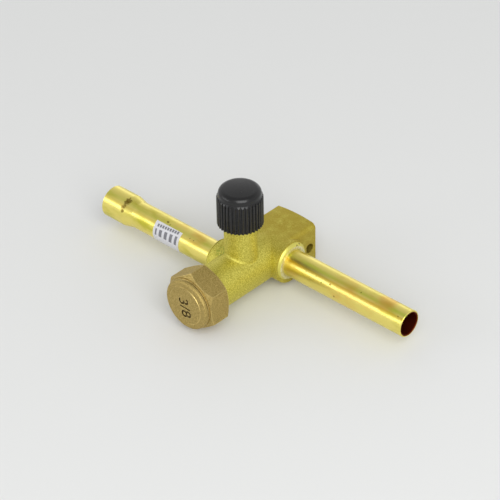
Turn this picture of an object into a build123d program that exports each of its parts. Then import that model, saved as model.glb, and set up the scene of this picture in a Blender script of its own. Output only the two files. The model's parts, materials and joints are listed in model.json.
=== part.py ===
"""Brazed refrigerant service valve for 3/8 in. tube, with stem cap and charging port.

Frame, in millimetres: the origin is the centre of the machined back face of the body.
+X runs along the tubes towards the plain outlet tube, -Y along the stem towards its cap,
and +Z up the charging port.
"""
from build123d import *
import os
from math import cos, pi, radians, sin, tan

# ---------------------------------------------------------------- driving sizes, mm
# layout
OUTLET_FROM_BACK = 13.5         # outlet tube axis from the back face
INLET_FROM_OUTLET = 14.2        # inlet tube and port axes from the outlet axis
STEM_SHOULDER_FROM_BACK = 44.6  # end face of the forged barrel, behind the cap

# tubes
TUBE_OD = 9.525                 # 3/8 in. tube
TUBE_WALL = 0.8
OUTLET_REACH = 61.0             # tube end from the stem axis
INLET_REACH = 61.0
SOCKET_BORE = 9.7               # swaged end, takes a 3/8 in. tube
SOCKET_LENGTH = 9.5
SWAGE_TAPER = 3.7
TUBE_SEAT_DEPTH = 4.5           # how far a tube enters its boss
BRAZE_GAP = 0.04                # radial gap of a brazed joint
TUBE_EDGE_CHAMFER = 0.2

# forged body
HEAD_LEFT = 8.3                 # block faces from the stem axis
HEAD_RIGHT = 8.5
HEAD_HALF_HEIGHT = 7.7          # at the block's corners
HEAD_CROWN = 0.65               # rise of the crowned top over its corners
HEAD_EDGE_RADIUS = 1.8          # as-forged edges on the outlet side
BARREL_OD = 15.6
OUTLET_BOSS_OD = 15.4
OUTLET_BOSS_REACH = 9.6
INLET_BOSS_OD = 14.4
INLET_BOSS_REACH = 9.9
BOSS_CHAMFER = 0.35
FORGED_FILLET = 0.8             # where barrel and inlet boss meet
PORT_FILLET = 1.1               # foot of the charging port
FIXING_HOLE = 3.6
FIXING_HOLE_FROM_BACK = 3.1
FIXING_HOLE_DROP = 0.6

# braze beads
BEAD_OD = 13.6
BEAD_HEIGHT = 0.85
BEAD_LIFT = 0.4                 # filler ran a little to the upper side

# stem bore
SEAT_BORE = 6.4
SEAT_CHAMFER = 0.7
SEAT_FROM_BACK = 22.5
SEAL_BORE = 9.0
STEM_THREAD_OD = 10.0
STEM_PITCH = 0.75
STEM_TURNS = 6
STEM_NECK_LENGTH = 7.0          # threaded spigot that carries the cap
STEM_NECK_THREAD_OD = 14.0
STEM_NECK_THREAD_DEPTH = 0.6
THREAD_CLEARANCE = 0.05         # radial, between a thread and its mate
SLIDING_CLEARANCE = 0.05        # radial, stem head in its bore
SEAT_CLEARANCE = 0.03           # closed stem to seat, so the two just do not touch

# stem
STEM_NOSE_OD = 8.4
STEM_NOSE_LENGTH = 1.0
STEM_NOSE_TIP_OD = 5.0
STEM_WAIST_OD = 4.8
STEM_HEAD_START = 31.9          # sealing head, from the back face
O_RING_CORD = 1.5
O_RING_SQUEEZE = 0.08           # kept out of the solid, so that ring and bore do not overlap
O_RING_SPACING = 2.4
O_RING_FIRST = 1.05             # first groove centre from the head's inner end
KEY_ACROSS_FLATS = 5.0
KEY_DEPTH = 4.2

# retaining ring
RING_THICKNESS = 0.8
RING_GROOVE_DEPTH = 0.6
RING_BITE = 0.75                # how far the ring reaches inside the stem thread
RING_GAP_ANGLE = 40
RING_PLAY = 0.05
RING_FROM_MOUTH = 0.75          # from the end of the neck

# stem cap
CAP_ACROSS_FLATS = 19.0
CAP_CORNER_ANGLE = 32           # first hexagon corner, from +X towards +Z
CAP_HEX_LENGTH = 6.9
CAP_SHOULDER_GAP = 0.15
CAP_CHAMFER_ANGLE = 30
CAP_RIM_OD = 18.9               # narrow ridge in front of the hexagon
CAP_RIM_WIDTH = 0.5
CAP_BUTTON_OD = 18.3
CAP_BUTTON_ROUND = 1.3
CAP_LENGTH = 9.8                # hexagon and button, without the raised face
CAP_FACE_OD = 14.2
CAP_FACE_RAISE = 0.25
CAP_GASKET_THICKNESS = 0.8
CAP_GASKET_BORE = 9.6

# charging port, 1/4 in. flare male
PORT_NECK_OD = 11.2
PORT_THREAD_OD = 11.1
PORT_THREAD_DEPTH = 0.65
PORT_SHOULDER_HEIGHT = 19.2     # top of the plain neck, from the tube axis
PORT_THREAD_LENGTH = 9.3
PORT_FLARE_OD = 7.2
PORT_PASSAGE = 3.6
PORT_TUNNEL = 4.4               # round the lower end of the core
CORE_THREAD_OD = 5.2
CORE_RECESS = 2.4               # core below the flare face

# port cap
PORT_CAP_OD = 15.6              # over the ribs
PORT_CAP_RIBS = 36
PORT_CAP_RIB_RADIUS = 0.45
PORT_CAP_RIB_LENGTH = 11.0
PORT_CAP_RIB_TAPER = 0.8
PORT_CAP_BAND_OD = 14.5
PORT_CAP_HEIGHT = 13.8
PORT_CAP_ROUND = 1.3
PORT_CAP_ROOF = 2.0
PORT_CAP_SKIRT_GAP = 0.2
PORT_GASKET_BORE = 5.0

# valve core
CORE_PLUG_LENGTH = 4.0
CORE_BRIDGE_LENGTH = 1.8
CORE_BRIDGE_WIDTH = 2.2
CORE_BARREL_OD = 3.8
CORE_BARREL_BORE = 2.4
CORE_BARREL_LENGTH = 7.0
CORE_BARREL_FLOOR = 0.6
CORE_NECK_OD = 2.6
CORE_NECK_LENGTH = 1.6
CORE_SEAL_LENGTH = 1.6
CORE_SEAL_STEP = 0.45
CORE_PIN_OD = 0.9
CORE_PIN_STANDS = 0.3
CORE_PIN_HEAD_OD = 1.5
CORE_PIN_HEAD_LENGTH = 0.5
CORE_PIN_COLLAR_OD = 1.9
CORE_PIN_COLLAR_LENGTH = 0.5
CORE_PIN_CLEARANCE = 0.08
CORE_PIN_TRAVEL = 1.2
CORE_CUP_OD = 3.4
CORE_CUP_LENGTH = 1.5
CORE_CUP_WALL = 0.3
CORE_CUP_SEAL_PROUD = 0.35
CORE_SPRING_WIRE = 0.26
CORE_SPRING_TURNS = 5
CORE_SPRING_AIR = 0.06

# facets of round wire and cord, too small to need more
WIRE_FACETS = 6
CORD_FACETS = 12

# label on the inlet tube
LABEL_LENGTH = 12.0
LABEL_HEIGHT = 10.0
LABEL_THICKNESS = 0.1
LABEL_FROM_BOSS = 15.0          # label edge from the inlet boss
LABEL_START_ANGLE = 119         # upper edge, from +Y towards +Z

# ---------------------------------------------------------------- derived places
INLET_FROM_BACK = OUTLET_FROM_BACK + INLET_FROM_OUTLET
TUBE_R = TUBE_OD / 2
FLOW_R = TUBE_R - TUBE_WALL

# each axis system has its local z along the piece, pointing outwards
STEM = Plane(origin=(0, 0, 0), x_dir=(1, 0, 0), z_dir=(0, -1, 0))
OUTLET = Plane(origin=(0, -OUTLET_FROM_BACK, 0), x_dir=(0, 1, 0), z_dir=(1, 0, 0))
INLET = Plane(origin=(0, -INLET_FROM_BACK, 0), x_dir=(0, 1, 0), z_dir=(-1, 0, 0))
PORT = Plane(origin=(0, -INLET_FROM_BACK, 0), x_dir=(1, 0, 0), z_dir=(0, 0, 1))

# along the stem, measured from the back face
NECK_END = STEM_SHOULDER_FROM_BACK + STEM_NECK_LENGTH
STEM_TRAVEL = STEM_PITCH * STEM_TURNS
STEM_THREAD_R = STEM_THREAD_OD / 2
STEM_HEAD_R = SEAL_BORE / 2 - SLIDING_CLEARANCE
O_RINGS = [STEM_HEAD_START + O_RING_FIRST + i * O_RING_SPACING for i in range(2)]
O_RING_LAND = 0.9               # head between a groove centre and the bore's last step
SEAL_BORE_END = O_RINGS[-1] + STEM_TRAVEL + O_RING_LAND
STEM_THREAD_START = SEAL_BORE_END + THREAD_CLEARANCE
RING_START = NECK_END - RING_FROM_MOUTH - RING_THICKNESS
STEM_END = RING_START - RING_PLAY - STEM_TRAVEL

# the stem cap
CAP_START = STEM_SHOULDER_FROM_BACK + CAP_SHOULDER_GAP
CAP_BORE_R = STEM_NECK_THREAD_OD / 2 + THREAD_CLEARANCE
CAP_GASKET_START = NECK_END
CAP_CEILING = CAP_GASKET_START + CAP_GASKET_THICKNESS

# up the port, measured from the tube axis
PORT_THREAD_R = PORT_THREAD_OD / 2
PORT_ROOT_R = PORT_THREAD_R - PORT_THREAD_DEPTH
PORT_THREAD_TOP = PORT_SHOULDER_HEIGHT + PORT_THREAD_LENGTH
PORT_TOP = PORT_THREAD_TOP + PORT_ROOT_R - PORT_FLARE_OD / 2
PORT_CAP_START = PORT_SHOULDER_HEIGHT + PORT_CAP_SKIRT_GAP
PORT_CAP_TOP = PORT_CAP_START + PORT_CAP_HEIGHT
PORT_CAP_CEILING = PORT_CAP_TOP - PORT_CAP_ROOF
PORT_CAP_BORE_R = PORT_THREAD_R + THREAD_CLEARANCE

# the valve core
CORE_TOP = PORT_TOP - CORE_RECESS
CORE_PLUG_START = CORE_TOP - CORE_PLUG_LENGTH
CORE_BARREL_TOP = CORE_PLUG_START
CORE_BARREL_START = CORE_BARREL_TOP - CORE_BARREL_LENGTH
CORE_SEAL_R = CORE_BARREL_OD / 2 + CORE_SEAL_STEP
CORE_SEAL_TOP = CORE_BARREL_TOP - 0.3
CORE_SEAL_START = CORE_SEAL_TOP - CORE_SEAL_LENGTH
CORE_PIN_R = CORE_PIN_OD / 2
CORE_HOLE_R = CORE_PIN_R + CORE_PIN_CLEARANCE
CORE_CUP_TOP = CORE_BARREL_START - CORE_CUP_SEAL_PROUD
CORE_SPRING_BASE = CORE_BARREL_START + CORE_BARREL_FLOOR
CORE_CHAMBER_TOP = CORE_BARREL_TOP - CORE_BARREL_FLOOR
CORE_COLLAR_TOP = CORE_CHAMBER_TOP - 0.1


# ---------------------------------------------------------------- construction helpers
def rod(axis, radius, start, end):
    """Round bar along an axis system, between two heights on it."""
    bar = Cylinder(radius, end - start, align=(Align.CENTER, Align.CENTER, Align.MIN))
    return axis * Pos(0, 0, start) * bar


def tube(axis, outer, inner, start, end):
    """Plain hollow bar along an axis system."""
    return rod(axis, outer, start, end) - rod(axis, inner, start, end)


def turned(axis, *outline):
    """Turned solid: an outline of (radius, height) points spun about an axis system."""
    profile = make_face(Polyline(*outline, close=True))
    return axis * revolve(Plane.XZ * profile, Axis.Z)


# ---------------------------------------------------------------- forged body
def head_section(crown):
    """Block outline across X and Z; the crown is the rise of its top over the corners."""
    top = ThreePointArc((-HEAD_LEFT, HEAD_HALF_HEIGHT), (0, HEAD_HALF_HEIGHT + crown),
                        (HEAD_RIGHT, HEAD_HALF_HEIGHT))
    bottom = ThreePointArc((HEAD_RIGHT, -HEAD_HALF_HEIGHT), (0, -HEAD_HALF_HEIGHT - crown),
                           (-HEAD_LEFT, -HEAD_HALF_HEIGHT))
    sides = [Line(top @ 1, bottom @ 0), Line(bottom @ 1, top @ 0)]
    face = make_face([top, sides[0], bottom, sides[1]])
    right = face.vertices().group_by(Axis.X)[-1]
    return fillet(right, HEAD_EDGE_RADIUS)


def forging():
    """Outside of the body: crowned block, barrel, two tube bosses and the port neck."""
    front_plane = Plane(origin=(0, -OUTLET_FROM_BACK, 0), x_dir=(1, 0, 0), z_dir=(0, -1, 0))
    back_plane = Plane(origin=(0, 0, 0), x_dir=(1, 0, 0), z_dir=(0, -1, 0))
    head = loft([back_plane * head_section(HEAD_CROWN), front_plane * head_section(0.02)],
                ruled=True)
    front_round = rod(OUTLET, OUTLET_BOSS_OD / 2, -HEAD_LEFT, OUTLET_BOSS_REACH)
    barrel = rod(STEM, BARREL_OD / 2, OUTLET_FROM_BACK, STEM_SHOULDER_FROM_BACK)
    inlet_boss = rod(INLET, INLET_BOSS_OD / 2, 0, INLET_BOSS_REACH)
    inlet_rim = inlet_boss.edges().group_by(Axis.X)[0]
    inlet_boss = chamfer(inlet_rim, BOSS_CHAMFER)
    neck = rod(PORT, PORT_NECK_OD / 2, 0, PORT_SHOULDER_HEIGHT)
    body = barrel + inlet_boss
    body = fillet(crossing_edges(body, INLET_FROM_BACK), FORGED_FILLET)
    body = body + neck
    foot = [edge for edge in body.edges() if is_foot(edge)]
    body = fillet(foot, PORT_FILLET)
    return body + front_round + head


def crossing_edges(body, depth):
    """Edges where a boss runs into the barrel: curved in space, and not on an end face."""
    found = []
    for edge in body.edges():
        middle = edge @ 0.5
        inside = edge.bounding_box().size
        if min(inside.X, inside.Y, inside.Z) > 0.5 and abs(middle.Y + depth) < INLET_BOSS_OD:
            found.append(edge)
    return found


def is_foot(edge):
    """True for an edge that runs round the port neck where it leaves the forging."""
    reach = [((edge @ t) - Vector(0, -INLET_FROM_BACK, (edge @ t).Z)).length for t in (0, 0.3, 0.5, 1)]
    on_neck = all(abs(r - PORT_NECK_OD / 2) < 0.01 for r in reach)
    return on_neck and (edge @ 0.5).Z < PORT_SHOULDER_HEIGHT - 1 and edge.geom_type != GeomType.LINE


def stem_bore():
    """Stepped bore for the stem: seat, sealing bore, thread and the ring groove."""
    seat_r = SEAT_BORE / 2
    seal_r = SEAL_BORE / 2
    thread_r = STEM_THREAD_R + THREAD_CLEARANCE
    groove_r = thread_r + RING_GROOVE_DEPTH
    ring_end = RING_START + RING_THICKNESS + RING_PLAY
    return turned(
        STEM,
        (0, OUTLET_FROM_BACK),
        (seat_r, OUTLET_FROM_BACK),
        (seat_r, SEAT_FROM_BACK - SEAT_CHAMFER),
        (seat_r + SEAT_CHAMFER, SEAT_FROM_BACK),
        (seal_r, SEAT_FROM_BACK),
        (seal_r, SEAL_BORE_END),
        (thread_r, SEAL_BORE_END + thread_r - seal_r),
        (thread_r, RING_START - RING_PLAY),
        (groove_r, RING_START - RING_PLAY),
        (groove_r, ring_end),
        (thread_r, ring_end),
        (thread_r, NECK_END),
        (0, NECK_END),
    )


def port_bore():
    """Bore of the charging port, from the flare face down into the sealing bore."""
    thread_r = CORE_THREAD_OD / 2 + THREAD_CLEARANCE
    tunnel_r = PORT_TUNNEL / 2
    taper_top = CORE_SEAL_TOP + 0.1
    return turned(
        PORT,
        (0, 0),
        (PORT_PASSAGE / 2, 0),
        (PORT_PASSAGE / 2, CORE_BARREL_START - 4.2),
        (tunnel_r, CORE_BARREL_START - 3.6),
        (tunnel_r, CORE_SEAL_START),
        (thread_r, taper_top),
        (thread_r, PORT_TOP - 0.3),
        (thread_r + 0.3, PORT_TOP),
        (0, PORT_TOP),
    )


def valve_body():
    """The forged and machined body."""
    shoulder_chamfer = 0.3
    neck_root = STEM_NECK_THREAD_OD / 2 - STEM_NECK_THREAD_DEPTH
    spigot = turned(
        STEM,
        (0, STEM_SHOULDER_FROM_BACK - 1),
        (neck_root, STEM_SHOULDER_FROM_BACK - 1),
        (neck_root, NECK_END - shoulder_chamfer),
        (neck_root - shoulder_chamfer, NECK_END),
        (0, NECK_END),
    )
    flare = turned(
        PORT,
        (0, PORT_SHOULDER_HEIGHT - 1),
        (PORT_ROOT_R, PORT_SHOULDER_HEIGHT - 1),
        (PORT_ROOT_R, PORT_THREAD_TOP),
        (PORT_FLARE_OD / 2, PORT_TOP),
        (0, PORT_TOP),
    )
    body = forging() + spigot + flare
    socket_r = TUBE_R + BRAZE_GAP
    outlet_seat = OUTLET_BOSS_REACH - TUBE_SEAT_DEPTH
    inlet_seat = INLET_BOSS_REACH - TUBE_SEAT_DEPTH
    body -= rod(OUTLET, FLOW_R, -SEAT_BORE / 2, outlet_seat)
    body -= rod(OUTLET, socket_r, outlet_seat, OUTLET_BOSS_REACH)
    body -= rod(INLET, FLOW_R, 0, inlet_seat)
    body -= rod(INLET, socket_r, inlet_seat, INLET_BOSS_REACH)
    body -= stem_bore()
    body -= port_bore()
    hole_axis = Plane(origin=(0, -FIXING_HOLE_FROM_BACK, -FIXING_HOLE_DROP), x_dir=(0, 1, 0),
                      z_dir=(1, 0, 0))
    body -= rod(hole_axis, FIXING_HOLE / 2, -HEAD_LEFT, HEAD_RIGHT)
    return body


# ---------------------------------------------------------------- tubes, beads and label
def outlet_tube():
    """Plain tube brazed into the outlet boss."""
    start = OUTLET_BOSS_REACH - TUBE_SEAT_DEPTH
    pipe = tube(OUTLET, TUBE_R, FLOW_R, start, OUTLET_REACH)
    ends = pipe.edges().group_by(Axis.X)[-1]
    return chamfer(ends, TUBE_EDGE_CHAMFER)


def inlet_tube():
    """Tube with one end swaged out to a socket."""
    start = INLET_BOSS_REACH - TUBE_SEAT_DEPTH
    socket_r = SOCKET_BORE / 2
    mouth = INLET_REACH
    shoulder = mouth - SOCKET_LENGTH
    foot = shoulder - SWAGE_TAPER
    wall = TUBE_WALL
    edge = TUBE_EDGE_CHAMFER
    return turned(
        INLET,
        (FLOW_R, start),
        (TUBE_R, start),
        (TUBE_R, foot),
        (socket_r + wall, shoulder),
        (socket_r + wall, mouth - edge),
        (socket_r + wall - edge, mouth),
        (socket_r + edge, mouth),
        (socket_r, mouth - edge),
        (socket_r, shoulder),
        (FLOW_R, foot),
    )


def braze_bead(axis, reach):
    """Bead of filler metal between a tube and the end of its boss."""
    lifted = axis.offset(0)
    lifted.origin = axis.origin + Vector(0, 0, BEAD_LIFT)
    outer = BEAD_OD / 2
    inner = TUBE_R - BEAD_LIFT
    crest = ThreePointArc((outer, reach), (outer - 0.5, reach + BEAD_HEIGHT * 0.7),
                          (inner, reach + BEAD_HEIGHT))
    wall = Polyline(crest @ 1, (inner, reach), crest @ 0)
    bead = lifted * revolve(Plane.XZ * make_face([crest, wall]), Axis.Z)
    return bead - rod(axis, TUBE_R, reach - 1, reach + BEAD_HEIGHT + 1)


def tube_label():
    """Sticker wrapped round the lower front of the inlet tube."""
    start = INLET_BOSS_REACH + LABEL_FROM_BOSS
    outer = TUBE_R + LABEL_THICKNESS
    angle = LABEL_HEIGHT / TUBE_R * 180 / pi
    sleeve = tube(INLET, outer, TUBE_R, start, start + LABEL_LENGTH)
    reach = outer * 1.5
    spread = [LABEL_START_ANGLE + angle * i / 4 for i in range(5)]
    corners = [(0, 0)] + [(reach * cos(radians(a)), reach * sin(radians(a))) for a in spread]
    across = Plane(origin=(-start + 1, -INLET_FROM_BACK, 0), x_dir=(0, 1, 0), z_dir=(1, 0, 0))
    wedge = extrude(across * make_face(Polyline(*corners, close=True)), -LABEL_LENGTH - 2)
    return sleeve & wedge


# ---------------------------------------------------------------- stem group
def stem():
    """Stem: seating nose, waist, grooved sealing head and threaded end with key socket."""
    slack = SEAT_CLEARANCE * 2 ** 0.5
    tip_r = STEM_NOSE_TIP_OD / 2
    nose_r = STEM_NOSE_OD / 2
    waist_r = STEM_WAIST_OD / 2
    # the nose is a 45 degree cone, set back from the seat chamfer by the clearance
    cone_zero = SEAT_FROM_BACK - SEAT_CHAMFER - SEAT_BORE / 2 + slack
    nose_end = cone_zero + nose_r + STEM_NOSE_LENGTH
    groove_r = STEM_HEAD_R - O_RING_CORD + O_RING_SQUEEZE
    half_groove = O_RING_CORD / 2 + 0.05
    grooves = []
    for centre in O_RINGS:
        grooves += [(STEM_HEAD_R, centre - half_groove), (groove_r, centre - half_groove),
                    (groove_r, centre + half_groove), (STEM_HEAD_R, centre + half_groove)]
    solid = turned(
        STEM,
        (0, cone_zero + tip_r),
        (tip_r, cone_zero + tip_r),
        (nose_r, cone_zero + nose_r),
        (nose_r, nose_end),
        (waist_r, nose_end + (nose_r - waist_r) / 2),
        (waist_r, STEM_HEAD_START - (STEM_HEAD_R - waist_r) / 2),
        (STEM_HEAD_R, STEM_HEAD_START),
        *grooves,
        (STEM_HEAD_R, STEM_THREAD_START),
        (STEM_THREAD_R, STEM_THREAD_START + STEM_THREAD_R - STEM_HEAD_R),
        (STEM_THREAD_R, STEM_END - 0.4),
        (STEM_THREAD_R - 0.4, STEM_END),
        (0, STEM_END),
    )
    key = RegularPolygon(KEY_ACROSS_FLATS / 2, 6, major_radius=False)
    socket = STEM * Pos(0, 0, STEM_END - KEY_DEPTH) * extrude(key, KEY_DEPTH)
    return solid - socket


def o_ring(centre):
    """Ring of round cord in a groove of the sealing head; the cord has twelve facets."""
    cord_r = O_RING_CORD / 2 - O_RING_SQUEEZE / 2
    ring_r = STEM_HEAD_R - O_RING_CORD / 2 + O_RING_SQUEEZE / 2
    turns = [2 * pi * i / CORD_FACETS for i in range(CORD_FACETS)]
    return turned(STEM, *[(ring_r + cord_r * cos(a), centre + cord_r * sin(a)) for a in turns])


def stem_retaining_ring():
    """Open spring ring in the mouth of the neck, the stop of the open stem."""
    outer = STEM_THREAD_R + THREAD_CLEARANCE + RING_GROOVE_DEPTH - 0.05
    inner = STEM_THREAD_R - RING_BITE
    ring = tube(STEM, outer, inner, RING_START, RING_START + RING_THICKNESS)
    half = outer * 2 * tan(radians(RING_GAP_ANGLE / 2))
    gap = make_face(Polyline((0, 0), (half, -outer * 2), (-half, -outer * 2), close=True))
    return ring - STEM * Pos(0, 0, RING_START) * extrude(gap, RING_THICKNESS)


# ---------------------------------------------------------------- stem cap
def stem_cap():
    """Hexagon cap with a round button end and a raised face."""
    flat_r = CAP_ACROSS_FLATS / 2
    corner_r = flat_r / cos(radians(30))
    rim_r = CAP_RIM_OD / 2
    button_r = CAP_BUTTON_OD / 2
    drop = (corner_r - rim_r) * tan(radians(CAP_CHAMFER_ANGLE))
    hex_end = CAP_START + CAP_HEX_LENGTH
    front = CAP_START + CAP_LENGTH
    hexagon = Rot(0, 0, CAP_CORNER_ANGLE) * RegularPolygon(corner_r, 6)
    prism = STEM * Pos(0, 0, CAP_START) * extrude(hexagon, CAP_HEX_LENGTH)
    chamfers = turned(
        STEM,
        (0, CAP_START),
        (rim_r, CAP_START),
        (corner_r, CAP_START + drop),
        (corner_r, hex_end - drop),
        (rim_r, hex_end),
        (0, hex_end),
    )
    button = turned(
        STEM,
        (0, hex_end - 1),
        (rim_r - 0.1, hex_end - 1),
        (rim_r, hex_end),
        (rim_r, hex_end + CAP_RIM_WIDTH),
        (button_r, hex_end + CAP_RIM_WIDTH + (rim_r - button_r)),
        (button_r, front),
        (0, front),
    )
    button = fillet(button.edges().group_by(Axis.Y)[0], CAP_BUTTON_ROUND)
    face = rod(STEM, CAP_FACE_OD / 2, front - 1, front + CAP_FACE_RAISE)
    cap = (prism & chamfers) + button + face
    mouth = 0.5
    return cap - turned(
        STEM,
        (0, CAP_START),
        (CAP_BORE_R + mouth, CAP_START),
        (CAP_BORE_R, CAP_START + mouth),
        (CAP_BORE_R, CAP_CEILING),
        (0, CAP_CEILING),
    )


def stem_cap_gasket():
    """Flat sealing washer between the neck and the inside of the cap."""
    outer = STEM_NECK_THREAD_OD / 2 - STEM_NECK_THREAD_DEPTH - 0.1
    return tube(STEM, outer, CAP_GASKET_BORE / 2, CAP_GASKET_START, CAP_CEILING)


# ---------------------------------------------------------------- port cap
def port_cap():
    """Moulded cap with fine grip ribs, a smooth band and a rounded top edge."""
    root_r = PORT_CAP_OD / 2 - PORT_CAP_RIB_RADIUS
    band_r = PORT_CAP_BAND_OD / 2
    rib_top = PORT_CAP_START + PORT_CAP_RIB_LENGTH
    section = Circle(root_r) + PolarLocations(root_r, PORT_CAP_RIBS) * Circle(PORT_CAP_RIB_RADIUS)
    ribs = PORT * Pos(0, 0, PORT_CAP_START) * extrude(section, PORT_CAP_RIB_LENGTH)
    envelope = turned(
        PORT,
        (0, PORT_CAP_START),
        (PORT_CAP_OD / 2, PORT_CAP_START),
        (PORT_CAP_OD / 2, rib_top - PORT_CAP_RIB_TAPER),
        (band_r, rib_top),
        (0, rib_top),
    )
    crown = rod(PORT, band_r, PORT_CAP_START + 1, PORT_CAP_TOP)
    crown = fillet(crown.edges().group_by(Axis.Z)[-1], PORT_CAP_ROUND)
    mouth = 0.4
    cavity = turned(
        PORT,
        (0, PORT_CAP_START),
        (PORT_CAP_BORE_R + mouth, PORT_CAP_START),
        (PORT_CAP_BORE_R, PORT_CAP_START + mouth),
        (PORT_CAP_BORE_R, PORT_CAP_CEILING),
        (0, PORT_CAP_CEILING),
    )
    return (ribs & envelope) + crown - cavity


def port_cap_gasket():
    """Soft washer that the flare face seals on."""
    return tube(PORT, PORT_CAP_BORE_R - 0.1, PORT_GASKET_BORE / 2, PORT_TOP, PORT_CAP_CEILING)


# ---------------------------------------------------------------- valve core
def core_plug():
    """Threaded head of the core, milled to a bridge for the core key."""
    plug = rod(PORT, CORE_THREAD_OD / 2, CORE_PLUG_START, CORE_TOP)
    plug = chamfer(plug.edges().group_by(Axis.Z)[0], 0.3)
    bridge_start = CORE_TOP - CORE_BRIDGE_LENGTH
    side = CORE_THREAD_OD
    for sign in (-1, 1):
        flat = Pos(0, sign * (CORE_BRIDGE_WIDTH + side) / 2, bridge_start + side / 2)
        plug -= PORT * flat * Box(side * 2, side, side)
    swivel = rod(PORT, CORE_NECK_OD / 2 + 0.05, CORE_PLUG_START, CORE_PLUG_START + CORE_NECK_LENGTH)
    return plug - swivel - rod(PORT, CORE_HOLE_R, CORE_PLUG_START, CORE_TOP)


def core_barrel():
    """Sleeve below the plug: it holds the spring and ends in the sealing lip."""
    outer = CORE_BARREL_OD / 2
    bore = CORE_BARREL_BORE / 2
    neck_top = CORE_BARREL_TOP + CORE_NECK_LENGTH - 0.1
    return turned(
        PORT,
        (CORE_HOLE_R, CORE_BARREL_START),
        (outer - 0.5, CORE_BARREL_START),
        (outer, CORE_BARREL_START + 0.5),
        (outer, CORE_BARREL_TOP - 0.05),
        (CORE_NECK_OD / 2, CORE_BARREL_TOP - 0.05),
        (CORE_NECK_OD / 2, neck_top),
        (CORE_HOLE_R, neck_top),
        (CORE_HOLE_R, CORE_CHAMBER_TOP),
        (bore, CORE_CHAMBER_TOP),
        (bore, CORE_SPRING_BASE),
        (CORE_HOLE_R, CORE_SPRING_BASE),
    )


def core_barrel_seal():
    """Tapered ring that seals the barrel in the port."""
    outer = CORE_BARREL_OD / 2
    return turned(
        PORT,
        (outer, CORE_SEAL_START),
        (PORT_TUNNEL / 2 - 0.02, CORE_SEAL_START),
        (CORE_SEAL_R, CORE_SEAL_TOP),
        (outer, CORE_SEAL_TOP),
    )


def core_pin():
    """Depressor pin with its head and the collar that the spring lifts."""
    top = CORE_TOP + CORE_PIN_STANDS + CORE_PIN_HEAD_LENGTH + CORE_PIN_TRAVEL
    collar_r = CORE_PIN_COLLAR_OD / 2
    head_r = CORE_PIN_HEAD_OD / 2
    foot = CORE_CUP_TOP - CORE_CUP_LENGTH
    return turned(
        PORT,
        (0, foot),
        (CORE_PIN_R, foot),
        (CORE_PIN_R, CORE_COLLAR_TOP - CORE_PIN_COLLAR_LENGTH),
        (collar_r, CORE_COLLAR_TOP - CORE_PIN_COLLAR_LENGTH),
        (collar_r, CORE_COLLAR_TOP),
        (CORE_PIN_R, CORE_COLLAR_TOP),
        (CORE_PIN_R, top - CORE_PIN_HEAD_LENGTH),
        (head_r, top - CORE_PIN_HEAD_LENGTH),
        (head_r, top - 0.1),
        (head_r - 0.1, top),
        (0, top),
    )


def core_cup():
    """Small cup fixed to the foot of the pin, open towards the barrel."""
    outer = CORE_CUP_OD / 2
    floor = CORE_CUP_TOP - CORE_CUP_LENGTH
    return turned(
        PORT,
        (CORE_PIN_R, floor),
        (outer - 0.3, floor),
        (outer, floor + 0.3),
        (outer, CORE_CUP_TOP),
        (outer - CORE_CUP_WALL, CORE_CUP_TOP),
        (outer - CORE_CUP_WALL, floor + CORE_CUP_WALL * 2),
        (CORE_PIN_R, floor + CORE_CUP_WALL * 2),
    )


def core_cup_seal():
    """Rubber ring in the cup, pressed against the barrel's lip."""
    floor = CORE_CUP_TOP - CORE_CUP_LENGTH + CORE_CUP_WALL * 2
    return tube(PORT, CORE_CUP_OD / 2 - CORE_CUP_WALL, CORE_PIN_R, floor, CORE_BARREL_START - 0.01)


def core_spring():
    """Coil spring round the pin, between the barrel floor and the collar."""
    wire_r = CORE_SPRING_WIRE / 2
    mean_r = CORE_BARREL_BORE / 2 - wire_r - CORE_SPRING_AIR
    low = CORE_SPRING_BASE + wire_r + 0.01
    high = CORE_COLLAR_TOP - CORE_PIN_COLLAR_LENGTH - wire_r - 0.01
    path = Helix((high - low) / CORE_SPRING_TURNS, high - low, mean_r)
    end = Plane(origin=path @ 0, z_dir=path % 0)
    coil = sweep(end * RegularPolygon(wire_r, WIRE_FACETS), path)
    return PORT * Pos(0, 0, low) * coil


# ---------------------------------------------------------------- export
def pieces():
    """Every node by name."""
    return {
        "valve_body": valve_body(),
        "outlet_tube": outlet_tube(),
        "inlet_tube": inlet_tube(),
        "outlet_braze_ring": braze_bead(OUTLET, OUTLET_BOSS_REACH),
        "inlet_braze_ring": braze_bead(INLET, INLET_BOSS_REACH),
        "tube_label": tube_label(),
        "stem": stem(),
        "stem_o_ring_inner": o_ring(O_RINGS[0]),
        "stem_o_ring_outer": o_ring(O_RINGS[1]),
        "stem_retaining_ring": stem_retaining_ring(),
        "stem_cap": stem_cap(),
        "stem_cap_gasket": stem_cap_gasket(),
        "port_cap": port_cap(),
        "port_cap_gasket": port_cap_gasket(),
        "core_plug": core_plug(),
        "core_barrel": core_barrel(),
        "core_barrel_seal": core_barrel_seal(),
        "core_pin": core_pin(),
        "core_cup": core_cup(),
        "core_cup_seal": core_cup_seal(),
        "core_spring": core_spring(),
    }


os.makedirs("parts", exist_ok=True)
for name, solid in pieces().items():
    export_step(solid, f"parts/{name}.step")
    print(name, round(solid.volume, 3))
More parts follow.
